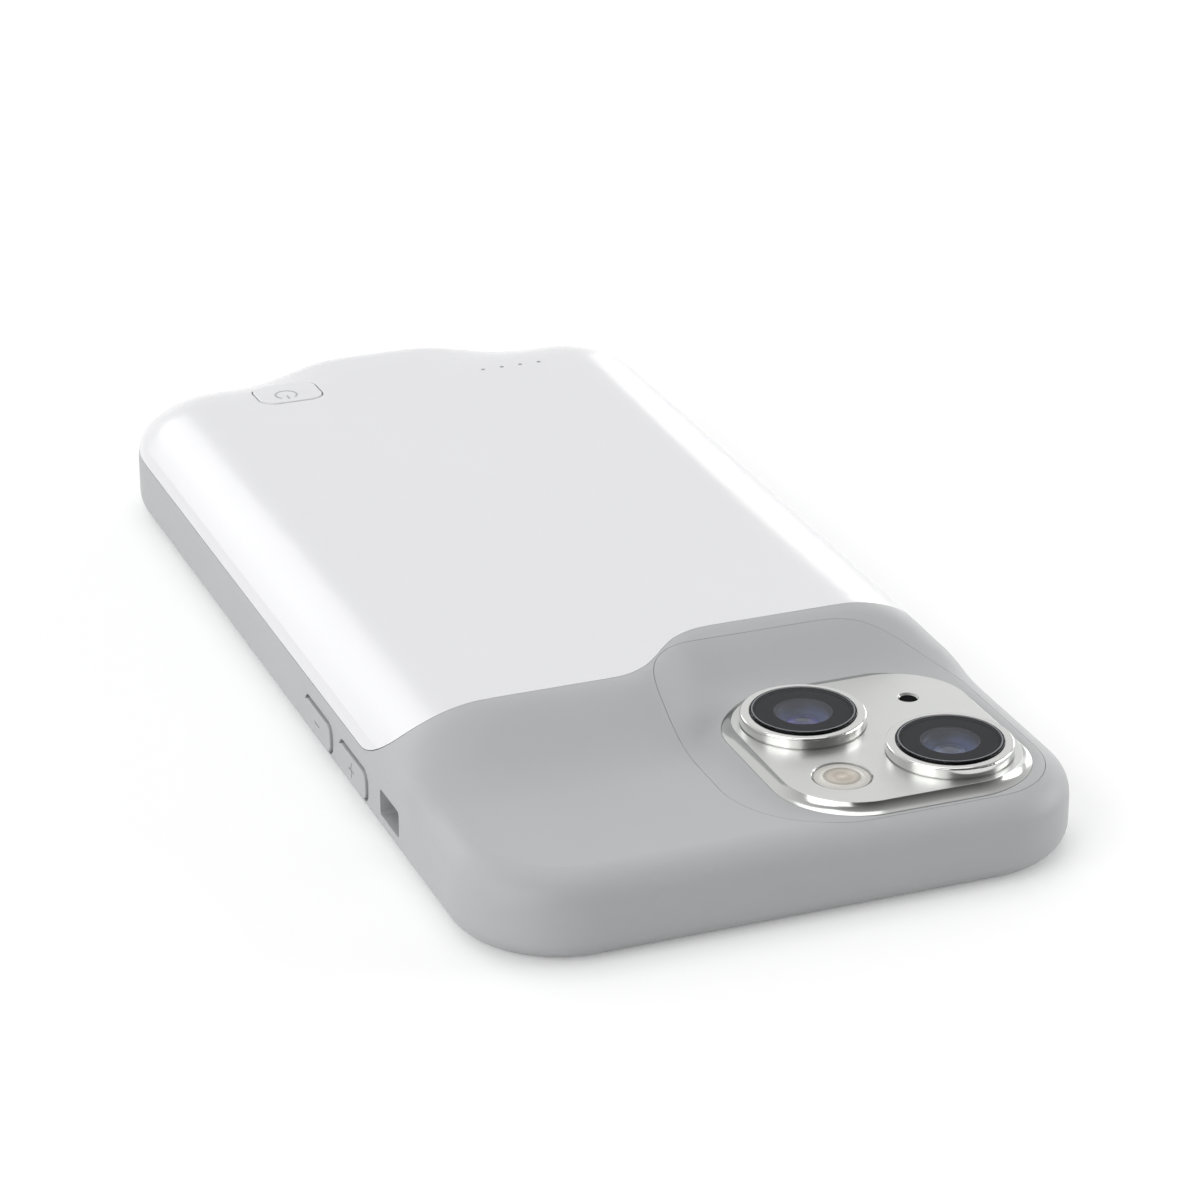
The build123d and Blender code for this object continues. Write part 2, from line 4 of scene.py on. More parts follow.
import bpy
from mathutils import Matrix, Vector

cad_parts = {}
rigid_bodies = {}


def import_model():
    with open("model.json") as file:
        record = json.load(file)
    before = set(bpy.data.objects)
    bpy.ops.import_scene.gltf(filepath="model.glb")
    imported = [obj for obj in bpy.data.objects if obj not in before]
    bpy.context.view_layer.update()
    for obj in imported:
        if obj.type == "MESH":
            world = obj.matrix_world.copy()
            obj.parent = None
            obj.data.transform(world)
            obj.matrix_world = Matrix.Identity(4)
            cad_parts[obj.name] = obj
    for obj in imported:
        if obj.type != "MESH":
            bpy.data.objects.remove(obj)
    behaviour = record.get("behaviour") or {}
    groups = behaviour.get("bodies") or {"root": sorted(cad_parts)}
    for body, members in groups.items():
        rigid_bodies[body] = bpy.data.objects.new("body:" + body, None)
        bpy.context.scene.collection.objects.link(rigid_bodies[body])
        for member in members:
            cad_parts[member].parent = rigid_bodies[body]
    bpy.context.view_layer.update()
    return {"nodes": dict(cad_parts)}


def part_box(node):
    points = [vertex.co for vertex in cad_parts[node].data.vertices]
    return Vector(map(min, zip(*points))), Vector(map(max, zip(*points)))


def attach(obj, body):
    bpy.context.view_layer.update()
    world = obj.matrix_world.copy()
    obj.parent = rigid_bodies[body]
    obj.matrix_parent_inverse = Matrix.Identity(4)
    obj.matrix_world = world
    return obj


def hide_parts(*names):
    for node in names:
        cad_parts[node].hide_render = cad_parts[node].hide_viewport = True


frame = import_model()
nodes = frame["nodes"]
mm = 0.001

# The frame is one moulding of grey polycarbonate under a thin soft-touch lacquer: the walls, the lip that
# holds the pocket's contents, the bed of the cell, the camera deck and the chin.


def linear(code):
    """Linear colour of an sRGB hex value."""
    parts = [int(code[i:i + 2], 16) / 255 for i in (1, 3, 5)]
    return (*[c / 12.92 if c <= 0.04045 else ((c + 0.055) / 1.055) ** 2.4 for c in parts], 1.0)


def wire(material, node, inputs):
    """Gives inputs of a node their values or links."""
    for key, value in inputs.items():
        if isinstance(value, bpy.types.NodeSocket):
            material.node_tree.links.new(value, node.inputs[key])
        else:
            node.inputs[key].default_value = value


def add_node(material, kind, inputs, **settings):
    """One shader node with its settings and inputs."""
    node = material.node_tree.nodes.new("ShaderNode" + kind)
    for key, value in settings.items():
        setattr(node, key, value)
    wire(material, node, inputs)
    return node


def bare(name, values):
    """A material with values on its shader, which comes back with it, and its Object coordinates."""
    material = bpy.data.materials.new(name)
    material.use_nodes = True
    shader = material.node_tree.nodes["Principled BSDF"]
    wire(material, shader, values)
    return material, shader, add_node(material, "TexCoord", {}).outputs["Object"]


def between(material, share, first, second):
    """A colour between two tones, by a share from 0 to 1."""
    mix = add_node(material, "Mix", {"Factor": share, "A": linear(first), "B": linear(second)},
                   data_type="RGBA")
    return mix.outputs["Result"]


def mottled(name, size, first, second, values):
    """A material whose colour drifts between two tones over a size, with its shader and coordinates."""
    material, shader, place = bare(name, values)
    cloud = add_node(material, "TexNoise", {"Vector": place, "Scale": 1 / size, "Detail": 2.0})
    wire(material, shader, {"Base Color": between(material, cloud.outputs["Fac"], first, second)})
    return material, shader, place


def dress(material, *names):
    """Gives CAD nodes their material."""
    for name in names:
        for slot in nodes[name].material_slots:
            slot.material = material


# Lacquered polycarbonate is an even satin grey, faintly cloudy over some millimetres. The lacquer has a fine
# grain, drawn at 0.35 mm because the real one of 0.05 mm would not show.
lacquer_cloud = 14 * mm
lacquer_grain = 0.35 * mm
grain_depth = 0.02 * mm
soft_grey, soft_shader, place = mottled("soft_touch_polycarbonate", lacquer_cloud, "#B7B9BA", "#BABCBD",
                                        {"IOR": 1.46})
grain = add_node(soft_grey, "TexNoise", {"Vector": place, "Scale": 1 / lacquer_grain, "Detail": 3.0})
satin = add_node(soft_grey, "MapRange", {"Value": grain.outputs["Fac"], "To Min": 0.42, "To Max": 0.54})
bump = add_node(soft_grey, "Bump", {"Height": grain.outputs["Fac"], "Strength": 0.05,
                                    "Distance": grain_depth})
wire(soft_grey, soft_shader, {"Roughness": satin.outputs["Result"], "Normal": bump.outputs["Normal"]})
dress(soft_grey, "rear_frame")

# The two volume pads and the side button are caps of the frame's lacquered polycarbonate. Each is pushed into
# its hole from the pocket and kept there by a flange; the plus and the minus are moulded in.
dress(soft_grey, "volume_up_button", "volume_down_button", "side_button")

# The charging board in the chin carries the plug and the socket, and the main board beside the cell carries
# the circuit. Both are glass-fibre laminate under green solder mask.

# Solder mask is a glossy green. The copper under it shows as lighter tracks, in rows 0.8 mm apart.
track_pitch = 0.8 * mm
mask_green, mask_shader, place = bare("solder_mask_laminate", {"Roughness": 0.28})
tracks = add_node(mask_green, "TexBrick", {
    "Vector": place, "Scale": 1 / track_pitch, "Mortar Size": 0.12, "Brick Width": 5.0, "Row Height": 1.0,
    "Color1": linear("#0E4A2A"), "Color2": linear("#125532"), "Mortar": linear("#2E8A55")})
wire(mask_green, mask_shader, {"Base Color": tracks.outputs["Color"]})
dress(mask_green, "charging_board", "main_board")

# The plug that stands into the pocket and the socket in the charging end are drawn steel shells, soldered to
# the charging board.

# Drawn steel is bright, with fine lines along the draw, 0.1 mm wide and some millimetres long.
steel_cloud = 6 * mm
draw_line = 0.1 * mm
draw_stretch = 0.03
drawn_steel, steel_shader, place = mottled("drawn_steel", steel_cloud, "#B9BABB", "#C4C5C6",
                                           {"Metallic": 1.0})
along = add_node(drawn_steel, "VectorMath", {0: place, 1: (1.0, draw_stretch, 1.0)}, operation="MULTIPLY")
lines = add_node(drawn_steel, "TexNoise", {"Vector": along.outputs["Vector"], "Scale": 1 / draw_line})
sheen = add_node(drawn_steel, "MapRange", {"Value": lines.outputs["Fac"], "To Min": 0.18, "To Max": 0.34})
wire(drawn_steel, steel_shader, {"Roughness": sheen.outputs["Result"]})
dress(drawn_steel, "charging_plug", "charging_port")

# The tongue in the socket is black liquid-crystal polymer with gold contacts along it, and the base that
# carries the plug is a block of the same polymer.


def stripes(material, place, pitch, gap):
    """1 on stripes that repeat along X at a pitch, and 0 on the gap before each, a share of the pitch."""
    across = add_node(material, "SeparateXYZ", {"Vector": place}).outputs["X"]
    count = add_node(material, "Math", {0: across, 1: pitch}, operation="DIVIDE")
    part = add_node(material, "Math", {0: count.outputs[0]}, operation="FRACT")
    return add_node(material, "Math", {0: part.outputs[0], 1: gap}, operation="GREATER_THAN").outputs[0]


# The polymer is a flat black with a fine flow pattern.
polymer_flow = 1.5 * mm
black_polymer, _, _ = mottled("black_polymer", polymer_flow, "#17181A", "#212224", {"Roughness": 0.5})
dress(black_polymer, "plug_base")

# The contacts are stripes of gold, 0.5 mm from one to the next, on the black of the tongue.
contact_pitch = 0.5 * mm
contact_gap = 0.5
gilded, gilded_shader, place = bare("gilded_polymer", {})
contact = stripes(gilded, place, contact_pitch, contact_gap)
finish = add_node(gilded, "MapRange", {"Value": contact, "To Min": 0.5, "To Max": 0.25})
wire(gilded, gilded_shader, {"Base Color": between(gilded, contact, "#1B1C1E", "#D6B25E"),
                             "Metallic": contact, "Roughness": finish.outputs["Result"]})
dress(gilded, "port_tongue")

# The flex is a strip of polyimide with etched copper, folded from the charging board up to the main board
# and soldered at both ends.

# Polyimide is a clear amber film, and the copper in it shows as darker lines 0.6 mm apart.
copper_pitch = 0.6 * mm
copper_gap = 0.55
amber, amber_shader, place = bare("polyimide_film", {"Roughness": 0.3})
copper = stripes(amber, place, copper_pitch, copper_gap)
wire(amber, amber_shader, {"Base Color": between(amber, copper, "#C68022", "#8A4B16")})
dress(amber, "board_flex")

# The cell is a flat pouch of aluminium foil laminate. Two strips of white tape bond it to the bed, and two
# strips of black foam hold it off the cover.

# The foil is a dull silver with soft creases some millimetres across.
foil_cloud = 10 * mm
foil_crease = 7 * mm
crease_depth = 0.3 * mm
foil, foil_shader, place = mottled("pouch_foil", foil_cloud, "#BFC1C4", "#CACCCF",
                                   {"Metallic": 1.0, "Roughness": 0.36})
crease = add_node(foil, "TexNoise", {"Vector": place, "Scale": 1 / foil_crease, "Detail": 3.0})
bump = add_node(foil, "Bump", {"Height": crease.outputs["Fac"], "Strength": 0.3, "Distance": crease_depth})
wire(foil, foil_shader, {"Normal": bump.outputs["Normal"]})
dress(foil, "battery_cell")

# The tape is a matt white paper, a little uneven in tone.
paper_cloud = 2 * mm
tape, _, _ = mottled("adhesive_tape", paper_cloud, "#DCDCD8", "#E8E8E4", {"Roughness": 0.7})
dress(tape, "cell_tape")

# The foam is a dead black with open pores of about 0.4 mm.
foam_cloud = 1 * mm
foam_pore = 0.4 * mm
pore_depth = 0.2 * mm
foam, foam_shader, place = mottled("open_cell_foam", foam_cloud, "#121212", "#1C1C1C", {"Roughness": 0.95})
pore = add_node(foam, "TexVoronoi", {"Vector": place, "Scale": 1 / foam_pore})
bump = add_node(foam, "Bump", {"Height": pore.outputs["Distance"], "Strength": 0.8, "Distance": pore_depth})
wire(foam, foam_shader, {"Normal": bump.outputs["Normal"]})
dress(foam, "cell_foam")

# On the main board sit the push switch of the power button, the charge chip and the choke, in black moulded
# cases, and the white plug of the cell's leads. Three plated screws hold the board on its bosses.

# Moulded epoxy is a matt charcoal with a fine grain; the connector is natural nylon, a warm white.
epoxy_grain = 0.3 * mm
nylon_cloud = 2 * mm
epoxy, _, _ = mottled("moulded_epoxy", epoxy_grain, "#1D1E20", "#292A2C", {"Roughness": 0.6})
dress(epoxy, "power_switch", "charge_chip", "choke_coil")
nylon, _, _ = mottled("natural_nylon", nylon_cloud, "#E4DFD2", "#EBE7DC", {"Roughness": 0.45})
dress(nylon, "cell_connector")

# Zinc plate is a soft grey metal with a faint bloom.
zinc_bloom = 0.8 * mm
plated, _, _ = mottled("zinc_plated_steel", zinc_bloom, "#A9ABAD", "#BABCBE",
                       {"Metallic": 1.0, "Roughness": 0.32})
dress(plated, "board_screws")

# The light guide is a comb moulded in clear acrylic. Its four tips are set into the cover, flush with the
# outside, and each has a lamp under it on the main board.

# Unlit acrylic is painted grey, painted shade for the dark of the case seen through it.
acrylic_cloud = 0.5 * mm
acrylic, _, _ = mottled("unlit_acrylic", acrylic_cloud, "#7F8284", "#95989A", {"Roughness": 0.3, "IOR": 1.49})
dress(acrylic, "light_guide", "status_lights")

# The battery cover is a shell of white ABS from a polished mould, snapped over the bed of the frame.
# The power button is a cap of the same white, held under the cover by its flange.

# Polished ABS is a clean white with a clear gloss. The mould leaves a slow waviness of about a centimetre,
# and the polish is not quite the same all over.
mould_wave = 9 * mm
wave_depth = 0.05 * mm
polish_patch = 20 * mm
gloss_white, gloss_shader, place = mottled("gloss_white_abs", polish_patch, "#E8E8EA", "#EAEAEC",
                                           {"IOR": 1.5})
patch = add_node(gloss_white, "TexNoise", {"Vector": place, "Scale": 1 / polish_patch, "Detail": 1.0})
polish = add_node(gloss_white, "MapRange", {"Value": patch.outputs["Fac"], "To Min": 0.19, "To Max": 0.23})
wave = add_node(gloss_white, "TexNoise", {"Vector": place, "Scale": 1 / mould_wave, "Detail": 1.0})
bump = add_node(gloss_white, "Bump", {"Height": wave.outputs["Fac"], "Strength": 0.02,
                                      "Distance": wave_depth})
wire(gloss_white, gloss_shader, {"Roughness": polish.outputs["Result"], "Normal": bump.outputs["Normal"]})
dress(gloss_white, "battery_cover", "power_button")

# The power sign is pad-printed in grey on the button: a ring, open towards the camera end, and a bar in the
# gap. The ink lies on the cap, so the sign is drawn above the button and laid down on its surface.
sign_radius = 1.5 * mm
sign_stroke = 0.26 * mm
sign_gap = math.radians(38)
sign_bar = 1.25 * mm
sign_setback = 0.9 * mm
sign_left = 0.45 * mm
bar_cuts = 3
ring_steps = 40
drop = 1 * mm
sign_weld = 0.001 * mm
ink_thickness = 0.02 * mm
cap_low, cap_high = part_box("power_button")
sign_x = (cap_low.x + cap_high.x) / 2 - sign_left
sign_y = (cap_low.y + cap_high.y) / 2 - sign_setback
sign_z = cap_high.z + drop
bar_y = sign_y - sign_radius - sign_stroke / 2 + sign_bar / 2
bpy.ops.object.select_all(action="DESELECT")
bpy.ops.mesh.primitive_plane_add(size=1, location=(0, 0, 0))
power_sign = bpy.context.object
power_sign.name = "power_sign"
bpy.ops.object.mode_set(mode="EDIT")
bpy.ops.transform.resize(value=(sign_stroke, sign_bar, 1))
bpy.ops.transform.translate(value=(sign_x, bar_y, sign_z))
bpy.ops.mesh.subdivide(number_cuts=bar_cuts)

# The ring starts as one point, drawn out to the width of the stroke and spun about the middle of the sign.
bpy.ops.mesh.select_all(action="DESELECT")
bpy.ops.mesh.primitive_plane_add(size=1, location=(0, 0, 0))
bpy.ops.mesh.merge(type="CENTER")
middle = Vector((sign_x, sign_y, sign_z))
start = Vector((-math.sin(sign_gap), -math.cos(sign_gap), 0)) * (sign_radius - sign_stroke / 2)
bpy.ops.transform.translate(value=middle + start)
bpy.ops.mesh.extrude_vertices_move(TRANSFORM_OT_translate={"value": start.normalized() * sign_stroke})
bpy.ops.mesh.select_linked()
bpy.ops.mesh.spin(steps=ring_steps, angle=2 * math.pi - 2 * sign_gap, center=middle, axis=(0, 0, 1))
bpy.ops.mesh.select_all(action="SELECT")
bpy.ops.mesh.remove_doubles(threshold=sign_weld)
bpy.ops.mesh.normals_make_consistent(inside=False)
bpy.ops.object.mode_set(mode="OBJECT")
lay = power_sign.modifiers.new("lay_on_cap", "SHRINKWRAP")
lay.target = nodes["power_button"]
lay.wrap_method = "PROJECT"
lay.use_project_z = True
lay.use_negative_direction = True
lay.use_positive_direction = False
bpy.ops.object.modifier_apply(modifier="lay_on_cap")
ink_film = power_sign.modifiers.new("ink_film", "SOLIDIFY")
ink_film.thickness = ink_thickness
ink_film.offset = 1.0
bpy.ops.object.modifier_apply(modifier="ink_film")
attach(power_sign, "power_button")

# Pad-printed ink is flat and slightly uneven in its cover.
ink_cloud = 0.4 * mm
ink, _, _ = mottled("pad_printed_ink", ink_cloud, "#AEB1B3", "#B8BBBD", {"Roughness": 0.55})
power_sign.data.materials.append(ink)

# The camera surround is a curved panel of the frame's lacquered polycarbonate, let into the deck and bonded
# there, with a fine shadow line round it.
dress(soft_grey, "camera_surround")

# The camera guard is a plate machined from aluminium, bead-blasted on top and polished on its hollowed edge
# and in the rims of its holes. It is bonded into the window of the surround.

# Blasted aluminium is a bright even satin with a fine sparkle, drawn at 0.2 mm because the real grit of
# 0.05 mm would not show. The polished edge mirrors the studio.
blast_cloud = 8 * mm
blast_grit = 0.2 * mm
satin_skin = 0.04 * mm
edge_polish = 0.17
guard_metal, guard_shader, place = mottled("blasted_aluminium", blast_cloud, "#D6D7D5", "#DADBD9",
                                           {"Metallic": 1.0})
height = add_node(guard_metal, "SeparateXYZ", {"Vector": place}).outputs["Z"]
guard_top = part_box("camera_guard")[1].z
on_top = add_node(guard_metal, "Math", {0: height, 1: guard_top - satin_skin}, operation="GREATER_THAN")
grit = add_node(guard_metal, "TexNoise", {"Vector": place, "Scale": 1 / blast_grit, "Detail": 2.0})
blasted = add_node(guard_metal, "MapRange", {"Value": grit.outputs["Fac"], "To Min": 0.3, "To Max": 0.4})
finish = add_node(guard_metal, "Mix", {"Factor": on_top.outputs[0], "A": edge_polish,
                                       "B": blasted.outputs["Result"]}, data_type="FLOAT")
wire(guard_metal, guard_shader, {"Roughness": finish.outputs["Result"]})
dress(guard_metal, "camera_guard")

# The microphone mesh is a disc punched from woven black polyester. It is bonded under the small hole in the
# guard.

# The weave is a dead black with threads 0.15 mm apart.
thread_pitch = 0.15 * mm
weave, weave_shader, place = bare("woven_polyester", {"Roughness": 0.9, "Specular IOR Level": 0.1})
threads = add_node(weave, "TexChecker", {"Vector": place, "Scale": 1 / thread_pitch,
                                         "Color1": linear("#060607"), "Color2": linear("#0F0F10")})
wire(weave, weave_shader, {"Base Color": threads.outputs["Color"]})
dress(weave, "microphone_mesh")

# The lens rings are bezels turned from stainless steel and polished. Each is pressed into the guard by its
# spigot and has a seat for its cover glass.

# Polished steel mirrors the studio, with a faint haze from the polish at 0.15 mm.
ring_cloud = 4 * mm
polish_haze = 0.15 * mm
ring_steel, ring_shader, place = mottled("polished_steel", ring_cloud, "#E1E1DF", "#E5E5E3",
                                         {"Metallic": 1.0})
haze = add_node(ring_steel, "TexNoise", {"Vector": place, "Scale": 1 / polish_haze})
polish = add_node(ring_steel, "MapRange", {"Value": haze.outputs["Fac"], "To Min": 0.1, "To Max": 0.16})
wire(ring_steel, ring_shader, {"Roughness": polish.outputs["Result"]})
dress(ring_steel, "far_lens_ring", "near_lens_ring")

# Under each cover glass sits a barrel of black anodised aluminium. Its throat is turned to a smooth bowl,
# with a small coated lens bonded in at the bottom.
turning_sides = 96
turning_weld = 0.002 * mm
crisp_edge = math.radians(30)


def turned(name, section, x, y):
    """A piece turned about an upright axis from its section, a closed chain of (radius, height) points."""
    bpy.ops.object.select_all(action="DESELECT")
    bpy.ops.mesh.primitive_plane_add(size=1 * mm, location=(0, 0, 0))
    piece = bpy.context.object
    piece.name = name
    bpy.ops.object.mode_set(mode="EDIT")
    bpy.ops.mesh.merge(type="CENTER")
    points = [Vector((x + r, y, z)) for r, z in section]
    bpy.ops.transform.translate(value=points[0])
    for a, b in zip(points, points[1:] + points[:1]):
        bpy.ops.mesh.extrude_vertices_move(TRANSFORM_OT_translate={"value": b - a})
    bpy.ops.mesh.select_all(action="SELECT")
    bpy.ops.mesh.spin(steps=turning_sides, angle=2 * math.pi, center=(x, y, 0), axis=(0, 0, 1))
    bpy.ops.mesh.select_all(action="SELECT")
    bpy.ops.mesh.remove_doubles(threshold=turning_weld)
    bpy.ops.mesh.normals_make_consistent(inside=False)
    bpy.ops.object.mode_set(mode="OBJECT")
    bpy.ops.object.shade_smooth_by_angle(angle=crisp_edge)
    return piece


def reach_from(material, place, x, y):
    """Distance from an upright axis, and the offset from that axis across X."""
    offset = add_node(material, "VectorMath", {0: place, 1: (x, y, 0)}, operation="SUBTRACT").outputs[0]
    flat = add_node(material, "VectorMath", {0: offset, 1: (1, 1, 0)}, operation="MULTIPLY").outputs[0]
    reach = add_node(material, "VectorMath", {0: flat}, operation="LENGTH").outputs["Value"]
    return reach, add_node(material, "SeparateXYZ", {"Vector": offset}).outputs["X"]


throat_steps = 12
throat_top = 3.5 * mm
lens_clearance = 0.05 * mm
lens_depth = 0.4 * mm
# These place the throat's painted reflection at the left and right of the lens, and its painted shade towards
# the rim.
side_reflection_start = 0.4 * mm
side_reflection_full = 2.2 * mm
side_reflection_least = 0.25
rim_shade_edge = 2.7 * mm
dark_share = 0.35
print_edge = 3.55 * mm
print_skin = 0.03 * mm
# Where the painted highlight of the glass's bevel lies inside its edge, and how wide it is.
painted_highlight_inset = 0.34 * mm
painted_highlight_width = 0.16 * mm
coated_ior = 1.25
lens_tints = {"far": ("#20183A", "#7A6BD0"), "near": ("#2A3040", "#8A96B4")}

# Black anodising is a deep satin black with a fine grain.
anodised_grain = 0.3 * mm
anodised, _, _ = mottled("black_anodised", anodised_grain, "#141517", "#1A1B1D",
                         {"Roughness": 0.42, "Specular IOR Level": 0.3})
for side_name, (lens_middle, lens_rim) in lens_tints.items():
    low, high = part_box(side_name + "_lens_baffle")
    lens_low, lens_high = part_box(side_name + "_lens_element")
    x = (low.x + high.x) / 2
    y = (low.y + high.y) / 2
    outer = (high.x - low.x) / 2
    lens_radius = (lens_high.x - lens_low.x) / 2
    bore = lens_radius + lens_clearance
    seat = lens_high.z - lens_depth
    section = [(bore, low.z), (outer, low.z), (outer, high.z)]
    for i in range(throat_steps + 1):
        turn = math.pi / 2 * i / throat_steps
        radius = bore + (throat_top - bore) * math.cos(turn)
        section.append((radius, high.z + (seat - high.z) * math.sin(turn)))
    barrel = turned(side_name + "_lens_barrel", section, x, y)
    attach(barrel, "case")
    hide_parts(side_name + "_lens_baffle")
    barrel.data.materials.append(anodised)

    # The polished throat is painted with light: a slate blue painted reflection of the lens coatings, lighter
    # at the left and right of the lens, and painted shade that turns it black towards its rim.
    painted_throat, painted_throat_shader, place = bare(side_name + "_painted_reflection_throat",
                                      {"Roughness": 0.3, "Specular IOR Level": 0.2})
    reach, across = reach_from(painted_throat, place, x, y)
    spread = add_node(painted_throat, "Math", {0: across}, operation="ABSOLUTE")
    side_reflection = add_node(painted_throat, "MapRange", {"Value": spread.outputs[0], "From Min": side_reflection_start,
                                          "From Max": side_reflection_full, "To Min": side_reflection_least})
    rim_shade = add_node(painted_throat, "MapRange", {"Value": reach, "From Min": throat_top, "From Max": rim_shade_edge})
    share = add_node(painted_throat, "Math", {0: side_reflection.outputs["Result"], 1: rim_shade.outputs["Result"]},
                     operation="MULTIPLY")
    wire(painted_throat, painted_throat_shader, {"Base Color": between(painted_throat, share.outputs[0], "#0B0C10", "#43527A")})
    barrel.data.materials.append(painted_throat)
    for face in barrel.data.polygons:
        middle = face.center
        inside = math.hypot(middle.x - x, middle.y - y) < throat_top
        face.material_index = 1 if inside and seat < middle.z < high.z else 0

    # The lens is dark in the middle, and its coating shows a colour towards the rim.
    coated, coated_shader, place = bare(side_name + "_coated_lens",
                                        {"Roughness": 0.08, "IOR": 1.6, "Coat Weight": 0.5})
    reach, _ = reach_from(coated, place, x, y)
    share = add_node(coated, "MapRange", {"Value": reach, "From Min": dark_share * lens_radius,
                                          "From Max": lens_radius})
    tint = between(coated, share.outputs["Result"], lens_middle, lens_rim)
    wire(coated, coated_shader, {"Base Color": tint})
    dress(coated, side_name + "_lens_element")

    # The cover glass is a ground disc, bonded into the seat of its ring. Its underside and edge are printed
    # black round the clear middle, and a fine grey ring is painted opaque inside its edge, a painted
    # highlight that stands for the edge of a ground bevel. A bluish coating halves its reflection, which the
    # low IOR stands for.
    glass_low, glass_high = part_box(side_name + "_lens_glass")
    glass_radius = (glass_high.x - glass_low.x) / 2
    printed, printed_shader, place = bare(side_name + "_printed_glass",
                                          {"Roughness": 0.4, "Specular IOR Level": 0.1})
    clear = add_node(printed, "BsdfPrincipled", {
        "Base Color": linear("#E6E9F2"), "Roughness": 0.02, "IOR": coated_ior, "Transmission Weight": 1.0,
        "Specular Tint": linear("#D8E4FF")})
    reach, _ = reach_from(printed, place, x, y)
    height = add_node(printed, "SeparateXYZ", {"Vector": place}).outputs["Z"]
    under = add_node(printed, "Math", {0: height, 1: glass_low.z + print_skin}, operation="LESS_THAN")
    beyond = add_node(printed, "Math", {0: reach, 1: print_edge}, operation="GREATER_THAN")
    margin = add_node(printed, "Math", {0: under.outputs[0], 1: beyond.outputs[0]}, operation="MULTIPLY")
    rim = add_node(printed, "Math", {0: reach, 1: glass_radius - print_skin}, operation="GREATER_THAN")
    black = add_node(printed, "Math", {0: margin.outputs[0], 1: rim.outputs[0]}, operation="MAXIMUM")
    # The grey ring inside the edge is a painted highlight, made opaque like the print.
    painted_bevel_line = add_node(printed, "Math", {0: reach, 1: glass_radius - painted_highlight_inset, 2: painted_highlight_width / 2},
                     operation="COMPARE")
    opaque = add_node(printed, "Math", {0: black.outputs[0], 1: painted_bevel_line.outputs[0]}, operation="MAXIMUM")
    wire(printed, printed_shader, {"Base Color": between(printed, painted_bevel_line.outputs[0], "#0A0A0C", "#86888C")})
    glass = add_node(printed, "MixShader", {0: opaque.outputs[0], 1: clear.outputs["BSDF"],
                                            2: printed_shader.outputs["BSDF"]})
    wire(printed, printed.node_tree.nodes["Material Output"], {"Surface": glass.outputs[0]})
    dress(printed, side_name + "_lens_glass")

# The flash window is moulded from frosted acrylic and bonded into its recess. Its raised middle has fine
# rings and facets that spread the light, and its flange shows as a paler border.

# Frosted acrylic is a greyish cream. A painted highlight makes a bright rim where the middle steps up, and a
# painted shadow of the gap round the window darkens the outer edge. The rings, 0.4 mm apart, and the facets
# of about 0.8 mm catch small lights. The tones and the painted light go from the middle to the edge.
flash_ring = 0.4 * mm
flash_facet = 0.8 * mm
facet_depth = 0.05 * mm
# The window's tones, with a painted highlight at the step and a painted shadow at the outer edge.
flash_tones_and_painted_light = [(0.0, "#D9CFBE"), (0.25, "#B4AB9D"), (0.45, "#C4BCB0"), (0.62, "#9C968D"), (0.69, "#ECE9E3"),
               (0.78, "#D2CFC9"), (0.93, "#C4C2BD"), (1.0, "#7E7C78")]
low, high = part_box("flash_window")
flash_radius = (high.x - low.x) / 2
cream, cream_shader, place = bare("frosted_acrylic", {"Roughness": 0.25, "IOR": 1.49, "Coat Weight": 0.3})
reach, _ = reach_from(cream, place, (low.x + high.x) / 2, (low.y + high.y) / 2)
share = add_node(cream, "Math", {0: reach, 1: flash_radius}, operation="DIVIDE")
tone = add_node(cream, "ValToRGB", {"Fac": share.outputs[0]})
stops = tone.color_ramp.elements
stops.remove(stops[1])
stops[0].color = linear(flash_tones_and_painted_light[0][1])
for stop, code in flash_tones_and_painted_light[1:]:
    stops.new(stop).color = linear(code)
turns = add_node(cream, "Math", {0: reach, 1: 2 * math.pi / flash_ring}, operation="MULTIPLY")
rings = add_node(cream, "Math", {0: turns.outputs[0]}, operation="SINE")
facets = add_node(cream, "TexVoronoi", {"Vector": place, "Scale": 1 / flash_facet})
relief = add_node(cream, "Math", {0: rings.outputs[0], 1: facets.outputs["Distance"]}, operation="ADD")
bump = add_node(cream, "Bump", {"Height": relief.outputs[0], "Strength": 0.4, "Distance": facet_depth})
wire(cream, cream_shader, {"Base Color": tone.outputs["Color"], "Normal": bump.outputs["Normal"]})
dress(cream, "flash_window")

# The studio is a sheet of white paper under a soft sky, brighter behind the object. In reflections the paper
# in front is painted a darker grey, painted shade that stands for a dim room there. Elsewhere, seen directly
# or in a reflection, the paper is lifted to white.
floor_size = 8.0
paper_lift = 0.22
# Where the painted shade on the paper in front begins, and where it is full.
painted_shade_start = -0.08
painted_shade_full = -0.2
bpy.ops.object.select_all(action="DESELECT")
bpy.ops.mesh.primitive_plane_add(size=floor_size, location=(0, 0, 0))
floor = bpy.context.object
floor.name = "studio_floor"
paper = bpy.data.materials.new("studio_paper")
paper.use_nodes = True
paper.node_tree.nodes.clear()
white = add_node(paper, "BsdfDiffuse", {"Color": linear("#F2F2F2")})
path = add_node(paper, "LightPath", {}).outputs
through = add_node(paper, "Math", {0: path["Is Camera Ray"], 1: path["Is Transmission Ray"]},
                   operation="MAXIMUM")
seen = add_node(paper, "Math", {0: through.outputs[0], 1: path["Is Glossy Ray"]}, operation="MAXIMUM")
lift = add_node(paper, "Math", {0: seen.outputs[0], 1: paper_lift}, operation="MULTIPLY")
glow = add_node(paper, "Emission", {"Strength": lift.outputs[0]})
lit = add_node(paper, "AddShader", {0: white.outputs[0], 1: glow.outputs[0]})
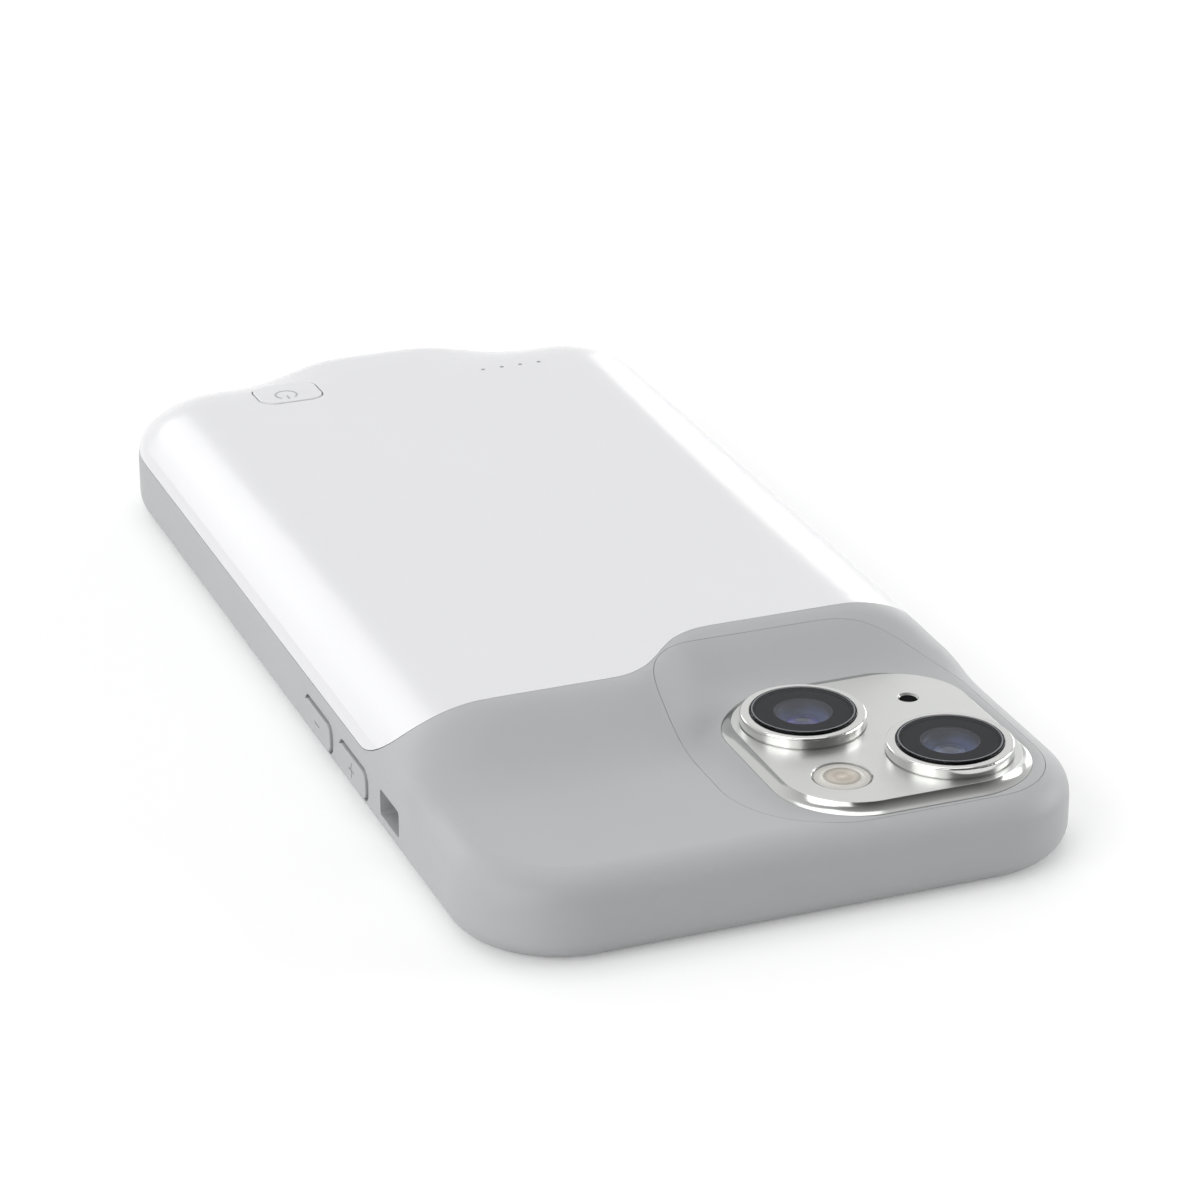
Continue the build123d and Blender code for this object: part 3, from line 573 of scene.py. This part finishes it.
# The darker paper is painted shade, seen only in reflections.
painted_shade_paper = add_node(paper, "BsdfDiffuse", {"Color": linear("#848484")})
place = add_node(paper, "TexCoord", {}).outputs["Object"]
ahead = add_node(paper, "SeparateXYZ", {"Vector": place}).outputs["Y"]
front = add_node(paper, "MapRange", {"Value": ahead, "From Min": painted_shade_start, "From Max": painted_shade_full})
share = add_node(paper, "Math", {0: front.outputs["Result"], 1: path["Is Glossy Ray"]}, operation="MULTIPLY")
paper_look = add_node(paper, "MixShader", {0: share.outputs[0], 1: lit.outputs[0], 2: painted_shade_paper.outputs[0]})
add_node(paper, "OutputMaterial", {"Surface": paper_look.outputs[0]})
floor.data.materials.append(paper)

sky_front = 0.04
sky_back = 0.9
sky = bpy.data.worlds.new("studio_sky")
bpy.context.scene.world = sky
sky.use_nodes = True
direction = add_node(sky, "TexCoord", {}).outputs["Generated"]
depth = add_node(sky, "SeparateXYZ", {"Vector": direction}).outputs["Y"]
level = add_node(sky, "MapRange", {"Value": depth, "From Min": -1.0, "From Max": 1.0,
                                   "To Min": sky_front, "To Max": sky_back})
wire(sky, sky.node_tree.nodes["Background"], {"Strength": level.outputs["Result"], "Color": (1, 1, 1, 1)})

# A tall soft box stands at the left, a smaller one at the left front, one above and one low at the right, and
# two behind draw the highlights along the cover's shoulders.


def soft_box(name, azimuth, elevation, distance, width, height, power):
    """A rectangular lamp that faces the object. Azimuth 0 is behind it, along +Y, and 90 is at +X."""
    lamp = bpy.data.lights.new(name, "AREA")
    lamp.shape = "RECTANGLE"
    lamp.size = width
    lamp.size_y = height
    lamp.energy = power
    box = bpy.data.objects.new(name, lamp)
    bpy.context.scene.collection.objects.link(box)
    turn = math.radians(azimuth)
    rise = math.radians(elevation)
    box.location = Vector((math.sin(turn) * math.cos(rise), math.cos(turn) * math.cos(rise),
                           math.sin(rise))) * distance
    box.rotation_euler = (-box.location).to_track_quat("-Z", "Y").to_euler()
    return box


soft_box("left_box", azimuth=-110, elevation=26, distance=1.5, width=1.0, height=1.4, power=7.6)
soft_box("front_box", azimuth=-140, elevation=30, distance=1.6, width=0.8, height=0.8, power=3.0)
soft_box("top_box", azimuth=0, elevation=80, distance=1.6, width=1.2, height=1.2, power=5.4)
soft_box("right_box", azimuth=98, elevation=14, distance=1.4, width=0.9, height=0.5, power=7.0)
left_back = soft_box("left_back_box", azimuth=-20, elevation=22, distance=1.3, width=0.5, height=0.5,
                     power=1.4)
soft_box("right_back_box", azimuth=46, elevation=8.5, distance=1.3, width=0.85, height=0.39, power=2.1)

# A flag keeps the left back box off the guard, whose hollow would mirror it as a white line.
flag = bpy.data.collections.new("behind_the_flag")
flag.objects.link(nodes["camera_guard"])
flag.collection_objects[0].light_linking.link_state = "EXCLUDE"
left_back.light_linking.receiver_collection = flag

# The camera stands where the photograph was taken from, above and to the left of the camera end. Its place
# and focal length were fitted to the photograph's vanishing points.
camera_place = Vector((-167.9, -443.8, 219.5)) * mm
camera_aim = Vector((4.08, -5.84, 8.5)) * mm
photo_pixels = 1200
focal_pixels = 3996
sensor_width = 36.0
nearest_seen = 10 * mm
camera = bpy.data.objects.new("camera", bpy.data.cameras.new("camera"))
bpy.context.scene.collection.objects.link(camera)
camera.data.sensor_width = sensor_width
camera.data.lens = focal_pixels / photo_pixels * sensor_width
camera.data.clip_start = nearest_seen
camera.location = camera_place
camera.rotation_euler = (camera_aim - camera_place).to_track_quat("-Z", "Y").to_euler()
bpy.context.scene.camera = camera
bpy.context.scene.view_settings.view_transform = "Standard"
